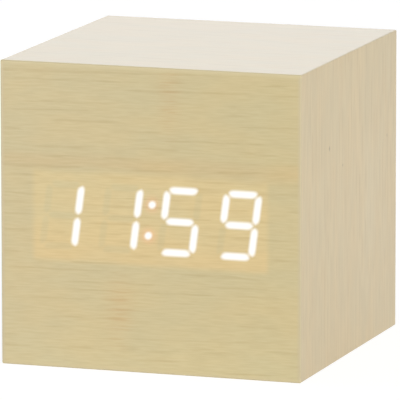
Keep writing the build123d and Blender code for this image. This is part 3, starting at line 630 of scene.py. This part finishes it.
def makeMetal(name, spec):
    material, tree, coords = startMaterial(name)
    brushed = noise(tree, stretch(tree, coords, metalGrain["stretch"]), spec["grain"], *metalGrain["detail"])
    cloud = noise(tree, coords, metalGrain["cloud"])
    share = calc(tree, "MULTIPLY", cloud, ease(tree, brushed, *metalGrain["share"]))
    colour = tint(tree, share, paint(*spec["colour"]), shaded(spec["colour"], spec["dull"]))
    rough = spread(tree, meanOf(tree, brushed, cloud), *spec["rough"])
    closeMaterial(tree, colour, rough, brushed, metalGrain["lift"], metallic=1.0)
    return material


# circuit boards

circuitBoard = {
    "mask": (0.012, 0.085, 0.035),
    "track": (0.03, 0.16, 0.06),
    "trackScale": 420.0,
    "trackWidth": 0.05,
    "weave": 1400.0,
    "weaveShare": 0.25,
    "rough": (0.22, 0.36),
    "lift": 0.02,
}


# green solder mask with the copper tracks showing a little paler under it
def makeCircuitBoard(name):
    material, tree, coords = startMaterial(name)
    spec = circuitBoard
    x, y, z = splitCoords(tree, coords)
    flat = addNode(tree, "ShaderNodeCombineXYZ", {0: x, 1: z}).outputs[0]
    inputs = {"Vector": flat, "Scale": spec["trackScale"], "Mortar Size": spec["trackWidth"], "Bias": 0.0}
    tracks = addNode(tree, "ShaderNodeTexBrick", inputs).outputs["Fac"]
    weave = noise(tree, coords, spec["weave"])
    colour = tint(tree, tracks, paint(*spec["mask"]), paint(*spec["track"]))
    colour = tint(tree, spread(tree, weave, 0.0, spec["weaveShare"]), colour, paint(*spec["track"]))
    closeMaterial(tree, colour, spread(tree, weave, *spec["rough"]), tracks, spec["lift"])
    return material


# what each carried node wears

finishes = {name: makePlastic(name, spec) for name, spec in plastics.items()}
finishes.update({name: makeMetal(name, spec) for name, spec in metals.items()})
finishes["frontFilm"] = makeFrontFilm("frontFilm")
finishes["boardUpright"] = makeBoard("boardUpright", "z", "upright", sideMarks)
finishes["boardAcross"] = makeBoard("boardAcross", "x", "across")
finishes["circuitBoard"] = makeCircuitBoard("circuitBoard")

worn = {
    "frontFilm": ["front_film", "lit_segments", "unlit_segments", "colon_dots"],
    "boardUpright": ["left_panel", "right_panel", "corner_blocks"],
    "boardAcross": ["top_panel", "bottom_panel", "front_panel"],
    "coverBlack": ["rear_cover"],
    "doorBlack": ["battery_door"],
    "inletBlack": ["dc_jack"],
    "displayBlack": ["display_housing"],
    "circuitBoard": ["display_board", "key_board", "display_base"],
    "chipBlack": ["controller_chip"],
    "buzzerBlack": ["buzzer"],
    "canSleeve": ["capacitor"],
    "socketWhite": ["display_socket", "key_socket", "display_spacers"],
    "plungerWhite": ["set_plunger", "up_plunger", "down_plunger"],
    "switchGrey": ["set_switch", "up_switch", "down_switch"],
    "ledChip": ["segment_leds"],
    "tinnedPin": ["display_pins", "quartz_crystal"],
    "brassPin": ["dc_jack_pin"],
    "nickelPlate": ["left_contacts", "right_contacts"],
    "plainSteel": ["display_board_screws", "key_board_screws"],
}
for finishName, wearers in worn.items():
    for nodeName in wearers:
        mesh = nodes[nodeName].data
        mesh.materials.clear()
        mesh.materials.append(finishes[finishName])
print("finishes given to", sum(len(wearers) for wearers in worn.values()), "nodes")


# tools for new pieces

sharpDegrees = 38.0  # edges sharper than this stay sharp in smooth shading


def softenShading(mesh):
    mesh.shade_smooth()
    mesh.set_sharp_from_angle(angle=math.radians(sharpDegrees))


def addPiece(name, mesh, body, slot, *stoodFor):
    piece = bpy.data.objects.new(name, mesh)
    scene.collection.objects.link(piece)
    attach(piece, body)
    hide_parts(*stoodFor)
    return piece


# profile points are (radius, along) in mm, and the axis runs from a place towards a heading
def turnedMesh(name, profile, place, heading, sides):
    build = bmesh.new()
    rings = []
    for radius, along in profile:
        ring = []
        for i in range(sides if radius else 1):
            angle = 2 * math.pi * i / sides
            corner = Vector((radius * math.cos(angle), radius * math.sin(angle), along))
            ring.append(build.verts.new(corner * mm))
        rings.append(ring)
    for lower, upper in zip(rings, rings[1:]):
        for i in range(sides):
            corners = ((lower, i), (lower, i + 1), (upper, i + 1), (upper, i))
            loop = [ring[at % len(ring)] for ring, at in corners]
            build.faces.new(dict.fromkeys(loop))
    bmesh.ops.recalc_face_normals(build, faces=build.faces)
    mesh = bpy.data.meshes.new(name)
    build.to_mesh(mesh)
    build.free()
    turn = Vector(heading).to_track_quat("Z", "Y").to_matrix().to_4x4()
    mesh.transform(Matrix.Translation(place) @ turn)
    softenShading(mesh)
    return mesh


# profile points on a quarter of an oval, from its outermost point to its highest
def quarterRound(radius, along, wide, high, steps):
    angles = [math.pi / 2 * step / steps for step in range(steps + 1)]
    return [(radius + wide * math.cos(angle), along + high * math.sin(angle)) for angle in angles]


# geometry trees

def startTree(name, **sizes):
    tree = bpy.data.node_groups.new(name, "GeometryNodeTree")
    tree.interface.new_socket("Geometry", in_out="INPUT", socket_type="NodeSocketGeometry")
    for label, kind in sizes.items():
        tree.interface.new_socket(label, in_out="INPUT", socket_type="NodeSocket" + kind)
    tree.interface.new_socket("Geometry", in_out="OUTPUT", socket_type="NodeSocketGeometry")
    return tree, addNode(tree, "NodeGroupInput").outputs


def closeTree(tree, geometry, finish):
    solid = addNode(tree, "GeometryNodeRealizeInstances", {0: geometry}).outputs[0]
    dressed = addNode(tree, "GeometryNodeSetMaterial", {"Geometry": solid, "Material": finish}).outputs[0]
    addNode(tree, "NodeGroupOutput", {0: dressed})


# sockets and constants joined into a vector, by axis number
def vectorOf(tree, parts):
    return addNode(tree, "ShaderNodeCombineXYZ", parts).outputs[0]


def pointRow(tree, count, first, step):
    inputs = {"Count": count, "Start Location": first, "Offset": step}
    return addNode(tree, "GeometryNodeMeshLine", inputs, mode="OFFSET").outputs[0]


def placeOn(tree, points, shape, **turning):
    inputs = {"Points": points, "Instance": shape, **turning}
    return addNode(tree, "GeometryNodeInstanceOnPoints", inputs).outputs[0]


def sweep(tree, line, section):
    inputs = {"Curve": line, "Profile Curve": section, "Fill Caps": True}
    return addNode(tree, "GeometryNodeCurveToMesh", inputs).outputs[0]


def circle(tree, sides, radius):
    inputs = {"Resolution": sides, "Radius": radius}
    return addNode(tree, "GeometryNodeCurvePrimitiveCircle", inputs).outputs[0]


# the mesh that a tree makes from a host mesh
def grownMesh(name, hostMesh, tree, **sizes):
    host = bpy.data.objects.new(name + "Host", hostMesh)
    scene.collection.objects.link(host)
    modifier = host.modifiers.new(tree.name, "NODES")
    modifier.node_group = tree
    for item in tree.interface.items_tree:
        if item.in_out == "INPUT" and item.name in sizes:
            modifier[item.identifier] = sizes[item.name]
    graph = bpy.context.evaluated_depsgraph_get()
    mesh = bpy.data.meshes.new_from_object(host.evaluated_get(graph), depsgraph=graph)
    mesh.name = name
    host.modifiers.remove(modifier)
    bpy.data.objects.remove(host)
    softenShading(mesh)
    return mesh


# rear cover screws

coverScrew = {
    "count": 2,
    "headRadius": 2.5,
    "headHeight": 1.3,
    "rim": 0.55,
    "shankRadius": 1.2,
    "point": 2.0,
    "tipRadius": 0.36,
    "tipHeight": 0.3,
    "slotLength": 2.9,
    "slotWidth": 0.62,
    "slotDepth": 0.75,
    "domeSteps": 8,
    "sides": 40,
}


# a pan head on a pointed shank, its axis on z and its seat at 0
def screwProfile(spec, length):
    head, rim, shank = spec["headRadius"], spec["rim"], spec["shankRadius"]
    profile = [(0, -length), (spec["tipRadius"], spec["tipHeight"] - length)]
    profile += [(shank, spec["point"] - length), (shank, 0), (head, 0)]
    dome = quarterRound(0, rim, head, spec["headHeight"] - rim, spec["domeSteps"])
    return profile + dome[:-1] + [(0, spec["headHeight"])]


# cross slot cut into the head, then one screw at each place in a row
def screwRowTree(finish):
    tree, sizes = startTree(
        "screwRow", Count="Int", First="Vector", Step="Vector", Top="Float",
        SlotLength="Float", SlotWidth="Float", SlotDepth="Float",
    )
    depth = calc(tree, "MULTIPLY", sizes["SlotDepth"], 2.0)  # half of each bar stands over the head
    cross = addNode(tree, "GeometryNodeMeshBoolean", operation="UNION")
    for wide, deep in (("SlotLength", "SlotWidth"), ("SlotWidth", "SlotLength")):
        size = vectorOf(tree, {0: sizes[wide], 1: sizes[deep], 2: depth})
        bar = addNode(tree, "GeometryNodeMeshCube", {"Size": size}).outputs[0]
        tree.links.new(bar, cross.inputs[1])
    lifting = {"Geometry": cross.outputs[0], "Translation": vectorOf(tree, {2: sizes["Top"]})}
    raised = addNode(tree, "GeometryNodeTransform", lifting).outputs[0]
    cut = addNode(tree, "GeometryNodeMeshBoolean", {0: sizes["Geometry"], 1: raised}, operation="DIFFERENCE")
    facing = {"Geometry": cut.outputs[0], "Rotation": (-math.pi / 2, 0, 0)}
    screw = addNode(tree, "GeometryNodeTransform", facing).outputs[0]
    row = pointRow(tree, sizes["Count"], sizes["First"], sizes["Step"])
    closeTree(tree, placeOn(tree, row, screw), finish)
    return tree


def makeCoverScrews():
    spec = coverScrew
    low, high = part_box("rear_cover_screws")
    length = (high.y - low.y) / mm - spec["headHeight"]
    blank = turnedMesh("screwBlank", screwProfile(spec, length), (0, 0, 0), (0, 0, 1), spec["sides"])
    headHalf = spec["headRadius"] * mm
    headHeight = spec["headHeight"] * mm
    apart = (high.x - low.x - 2 * headHalf) / (spec["count"] - 1)
    mesh = grownMesh(
        "coverScrews", blank, screwRowTree(finishes["plainSteel"]),
        Count=spec["count"], Top=headHeight,
        First=(low.x + headHalf, high.y - headHeight, (low.z + high.z) / 2), Step=(apart, 0.0, 0.0),
        SlotLength=spec["slotLength"] * mm, SlotWidth=spec["slotWidth"] * mm,
        SlotDepth=spec["slotDepth"] * mm,
    )
    addPiece("coverScrews", mesh, "case", "steel", "rear_cover_screws")


# button caps

buttonCap = {
    "flangeRadius": 3.6,
    "flange": 1.0,
    "capRadius": 2.8,
    "edge": 0.12,
    "round": 0.45,
    "roundSteps": 8,
    "dish": 0.16,
    "dishShares": (0.85, 0.7, 0.5, 0.25),
    "sides": 56,
}


# a bevelled flange, then a cap with a rounded edge and a dished top
def capProfile(spec, height):
    flange, sheet, cap, edge = (spec[key] for key in ("flangeRadius", "flange", "capRadius", "edge"))
    profile = [(0, 0), (flange - edge, 0), (flange, edge)]
    profile += [(flange, sheet - edge), (flange - edge, sheet), (cap, sheet)]
    bend = spec["round"]
    inner = cap - bend
    profile += quarterRound(inner, height - bend, bend, bend, spec["roundSteps"])
    for share in spec["dishShares"]:
        profile.append((inner * share, height - spec["dish"] * (1 - share * share)))
    return profile + [(0, height - spec["dish"])]


def makeButtonCaps():
    spec = buttonCap
    for key in ("set", "up", "down"):
        low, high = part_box(key + "_button")
        place = ((low.x + high.x) / 2, low.y, (low.z + high.z) / 2)
        profile = capProfile(spec, (high.y - low.y) / mm)
        mesh = turnedMesh(key + "Cap", profile, place, (0, 1, 0), spec["sides"])
        mesh.materials.append(finishes["buttonBlack"])
        addPiece(key + "Cap", mesh, key + "_key", "button_black", key + "_button")


# cells

cellForm = {
    "buttonToward": {"battery_1": -1, "battery_2": 1, "battery_3": -1},
    "buttonRadius": 1.9,
    "buttonHeight": 1.0,
    "buttonBevel": 0.25,
    "buttonCorner": 0.08,
    "neckFlare": 0.5,
    "neckBend": 0.15,
    "neckHeight": 0.2,
    "footRadius": 3.4,
    "sink": 0.3,
    "lip": 0.75,
    "curl": 0.35,
    "curlSteps": 6,
    "sides": 72,
}
cellJacket = {
    "body": (0.060, 0.072, 0.085),
    "band": (0.52, 0.56, 0.57),
    "bandWidth": 11.0,
    "ringGap": 1.6,
    "ringWidth": 0.9,
    "scuffed": (0.16, 0.18, 0.2),
    "scuffStretch": (0.25, 1.0, 1.0),
    "scuffScale": 900.0,
    "scuffDetail": (3.0, 0.6),
    "scuffShare": 0.25,
    "metallic": 0.45,
    "rough": (0.22, 0.32),
    "lift": 0.004,
}


# printed foil jacket: a pale band at the button's end with one thin ring beside it
def makeCellJacket(name, buttonX, toward):
    material, tree, coords = startMaterial(name)
    spec = cellJacket
    depth = calc(tree, "MULTIPLY", offset(tree, splitCoords(tree, coords)["X"], buttonX), -toward / mm)
    ringStart = spec["bandWidth"] + spec["ringGap"]
    inBand = calc(tree, "LESS_THAN", depth, spec["bandWidth"])
    pastGap = calc(tree, "GREATER_THAN", depth, ringStart)
    inRing = calc(tree, "MULTIPLY", pastGap, calc(tree, "LESS_THAN", depth, ringStart + spec["ringWidth"]))
    foil = stretch(tree, coords, spec["scuffStretch"])
    scuff = noise(tree, foil, spec["scuffScale"], *spec["scuffDetail"])
    scuffShare = spread(tree, scuff, 0.0, spec["scuffShare"])
    body = tint(tree, scuffShare, paint(*spec["body"]), paint(*spec["scuffed"]))
    colour = tint(tree, calc(tree, "MAXIMUM", inBand, inRing), body, paint(*spec["band"]))
    rough = spread(tree, scuff, *spec["rough"])
    closeMaterial(tree, colour, rough, scuff, spec["lift"], spec["metallic"])
    return material


# from the flat foot, round the rolled jacket edges, to the button
def cellProfile(spec, radius, length):
    foot, sink, curl = spec["footRadius"], spec["sink"], spec["curl"]
    nub, bevel, corner = spec["buttonRadius"], spec["buttonBevel"], spec["buttonCorner"]
    rim = radius - spec["lip"]
    shoulder = length - spec["buttonHeight"]
    profile = [(0, 0), (foot, 0), (foot + sink, sink), (rim, sink), (rim, curl / 2)]
    lowerCurl = quarterRound(radius - curl, 0, curl, curl, spec["curlSteps"])
    profile += [(outward, curl - rise) for outward, rise in reversed(lowerCurl)]
    profile += quarterRound(radius - curl, shoulder - curl, curl, curl, spec["curlSteps"])
    profile += [(rim, shoulder - curl / 2), (rim, shoulder - sink)]
    profile += [(nub + spec["neckFlare"], shoulder - sink), (nub + spec["neckBend"], shoulder - sink / 2)]
    profile += [(nub, shoulder + spec["neckHeight"]), (nub, length - bevel)]
    return profile + [(nub - corner, length - corner), (nub - bevel, length), (0, length)]


def makeCells():
    spec = cellForm
    for node, toward in spec["buttonToward"].items():
        low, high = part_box(node)
        radius = (high.z - low.z) / 2 / mm
        foot, button = (low.x, high.x) if toward > 0 else (high.x, low.x)
        axis = Vector((foot, (low.y + high.y) / 2, (low.z + high.z) / 2))
        name = node.replace("battery_", "cell")
        profile = cellProfile(spec, radius, (high.x - low.x) / mm)
        mesh = turnedMesh(name, profile, axis, (toward, 0, 0), spec["sides"])
        mesh.materials.append(makeCellJacket(name + "Jacket", button, toward))
        mesh.materials.append(finishes["nickelPlate"])
        rim = (radius - spec["lip"]) * mm
        for face in mesh.polygons:
            away = face.center - axis
            face.material_index = 0 if math.hypot(away.y, away.z) > rim else 1
        addPiece(name, mesh, "case", "cell_jacket", node)


# coil springs, one at the foot of each cell

cellSpring = {
    "wireRadius": 0.25,
    "wireSides": 12,
    "baseRadius": 2.7,
    "tipRadius": 2.0,
    "turns": 3.0,
    "turnSteps": 40,
    "endGap": 0.05,
}


def springTree(finish):
    tree, sizes = startTree(
        "coilSprings", WireRadius="Float", BaseRadius="Float", TipRadius="Float", Rise="Float", Turns="Float"
    )
    spiral = {
        "Resolution": cellSpring["turnSteps"],
        "Rotations": sizes["Turns"],
        "Start Radius": sizes["BaseRadius"],
        "End Radius": sizes["TipRadius"],
        "Height": sizes["Rise"],
    }
    coil = addNode(tree, "GeometryNodeCurveSpiral", spiral).outputs[0]
    wire = sweep(tree, coil, circle(tree, cellSpring["wireSides"], sizes["WireRadius"]))
    laying = {"Geometry": wire, "Rotation": (0, math.pi / 2, 0)}
    laid = addNode(tree, "GeometryNodeTransform", laying).outputs[0]
    named = addNode(tree, "GeometryNodeInputNamedAttribute", {"Name": "turnedBack"}, data_type="FLOAT")
    turn = vectorOf(tree, {2: calc(tree, "MULTIPLY", named.outputs[0], math.pi)})
    closeTree(tree, placeOn(tree, sizes["Geometry"], laid, Rotation=turn), finish)
    return tree


def makeSprings():
    spec = cellSpring
    low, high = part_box("battery_springs")
    starts = []
    turns = []
    inset = spec["wireRadius"] * mm
    for node, toward in cellForm["buttonToward"].items():
        cellLow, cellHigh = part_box(node)
        base = low.x + inset if toward > 0 else high.x - inset
        starts.append((base, (cellLow.y + cellHigh.y) / 2, (cellLow.z + cellHigh.z) / 2))
        turns.append(0.0 if toward > 0 else 1.0)
    points = bpy.data.meshes.new("springStarts")
    points.from_pydata(starts, [], [])
    points.attributes.new("turnedBack", "FLOAT", "POINT").data.foreach_set("value", turns)
    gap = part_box("battery_2")[0].x - low.x  # from the contact plate to the cell's foot
    mesh = grownMesh(
        "coilSprings", points, springTree(finishes["springSteel"]),
        WireRadius=inset, BaseRadius=spec["baseRadius"] * mm, TipRadius=spec["tipRadius"] * mm,
        Rise=gap - 2 * inset - spec["endGap"] * mm, Turns=spec["turns"],
    )
    addPiece("coilSprings", mesh, "case", "steel", "battery_springs")


# wires and ribbon, each on one smooth line

leadRoutes = {
    "positive": [(-24.55, 14.5, 35.95), (-24.55, 10.5, 35.95), (-11.55, 10.5, 46.25), (-11.55, 20.7, 46.25)],
    "negative": [(24.55, 14.5, 13.75), (24.55, 10.5, 13.75), (11.55, 10.5, 46.25), (11.55, 20.7, 46.25)],
}
leadForm = {
    "radius": 0.6,
    "wears": {"positive": "wireRed", "negative": "wireBlack"},
    "slots": {"positive": "wire_red", "negative": "wire_black"},
}
ribbonForm = {"cores": 7, "coreRadius": 0.45, "web": 0.3, "lead": 9.0}
ribbonFinish = {
    "jacket": (0.33, 0.33, 0.34),
    "pale": (0.40, 0.40, 0.41),
    "marked": (0.45, 0.05, 0.04),
    "fine": 900.0,
    "rough": (0.4, 0.5),
    "lift": 0.01,
}
lineForm = {"order": 3, "steps": 14, "coreSides": 16}


# edges along a NURBS line that has the route's points as its control points
def smoothLine(name, route):
    curve = bpy.data.curves.new(name, "CURVE")
    curve.dimensions = "3D"
    curve.resolution_u = lineForm["steps"]
    spline = curve.splines.new("NURBS")
    spline.points.add(len(route) - 1)
    for point, place in zip(spline.points, route):
        point.co = (*(part * mm for part in place), 1.0)
    spline.order_u = lineForm["order"]
    spline.use_endpoint_u = True
    line = bpy.data.objects.new(name, curve)
    scene.collection.objects.link(line)
    graph = bpy.context.evaluated_depsgraph_get()
    mesh = bpy.data.meshes.new_from_object(line.evaluated_get(graph), depsgraph=graph)
    bpy.data.objects.remove(line)
    return mesh


# round cores side by side along the line, joined by a thin web
def coresTree(name, finish):
    tree, sizes = startTree(
        name, Cores="Int", Radius="Float", Pitch="Float", WebWidth="Float", WebHeight="Float"
    )
    line = addNode(tree, "GeometryNodeMeshToCurve", {"Mesh": sizes["Geometry"]}).outputs[0]
    core = sweep(tree, line, circle(tree, lineForm["coreSides"], sizes["Radius"]))
    span = calc(tree, "MULTIPLY", sizes["Pitch"], calc(tree, "SUBTRACT", sizes["Cores"], 1))
    start = vectorOf(tree, {0: calc(tree, "MULTIPLY", span, -0.5)})
    row = pointRow(tree, sizes["Cores"], start, vectorOf(tree, {0: sizes["Pitch"]}))
    strip = {"Width": sizes["WebWidth"], "Height": sizes["WebHeight"]}
    flat = addNode(tree, "GeometryNodeCurvePrimitiveQuadrilateral", strip).outputs[0]
    joined = addNode(tree, "GeometryNodeJoinGeometry")
    tree.links.new(placeOn(tree, row, core), joined.inputs[0])
    tree.links.new(sweep(tree, line, flat), joined.inputs[0])
    closeTree(tree, joined.outputs[0], finish)
    return tree


def makeLeads():
    thin = leadForm["radius"] * mm
    for pole, route in leadRoutes.items():
        mesh = grownMesh(
            pole + "Lead", smoothLine(pole + "Line", route),
            coresTree(pole + "Core", finishes[leadForm["wears"][pole]]),
            Cores=1, Radius=thin, Pitch=0.0, WebWidth=thin, WebHeight=thin,
        )
        addPiece(pole + "Lead", mesh, "case", leadForm["slots"][pole], pole + "_lead")


# grey ribbon jacket, the first core marked red
def makeRibbonFinish(name, markedEdge):
    material, tree, coords = startMaterial(name)
    spec = ribbonFinish
    fine = noise(tree, coords, spec["fine"])
    jacket = tint(tree, fine, paint(*spec["jacket"]), paint(*spec["pale"]))
    marked = calc(tree, "LESS_THAN", splitCoords(tree, coords)["X"], markedEdge)
    colour = tint(tree, marked, jacket, paint(*spec["marked"]))
    closeMaterial(tree, colour, spread(tree, fine, *spec["rough"]), fine, spec["lift"])
    return material


def makeRibbon():
    spec = ribbonForm
    low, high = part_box("ribbon_cable")
    keyLow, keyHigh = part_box("key_socket")
    displayLow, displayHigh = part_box("display_socket")
    keyRise = (keyLow.z + keyHigh.z) / 2 / mm
    displayRise = (displayLow.z + displayHigh.z) / 2 / mm
    start = high.y / mm
    end = low.y / mm
    route = [(0, start, keyRise), (0, start - spec["lead"], keyRise)]
    route += [(0, end + spec["lead"], displayRise), (0, end, displayRise)]
    radius = spec["coreRadius"] * mm
    span = high.x - low.x - 2 * radius
    pitch = span / (spec["cores"] - 1)
    finish = makeRibbonFinish("ribbonGrey", low.x + radius + pitch / 2)
    mesh = grownMesh(
        "ribbonCable", smoothLine("ribbonLine", route), coresTree("ribbonCores", finish),
        Cores=spec["cores"], Radius=radius, Pitch=pitch, WebWidth=span, WebHeight=spec["web"] * mm,
    )
    addPiece("ribbonCable", mesh, "case", "ribbon_grey", "ribbon_cable")


makeCoverScrews()
makeButtonCaps()
makeCells()
makeSprings()
makeLeads()
makeRibbon()
print("screws, caps, cells, springs, wires and ribbon made")
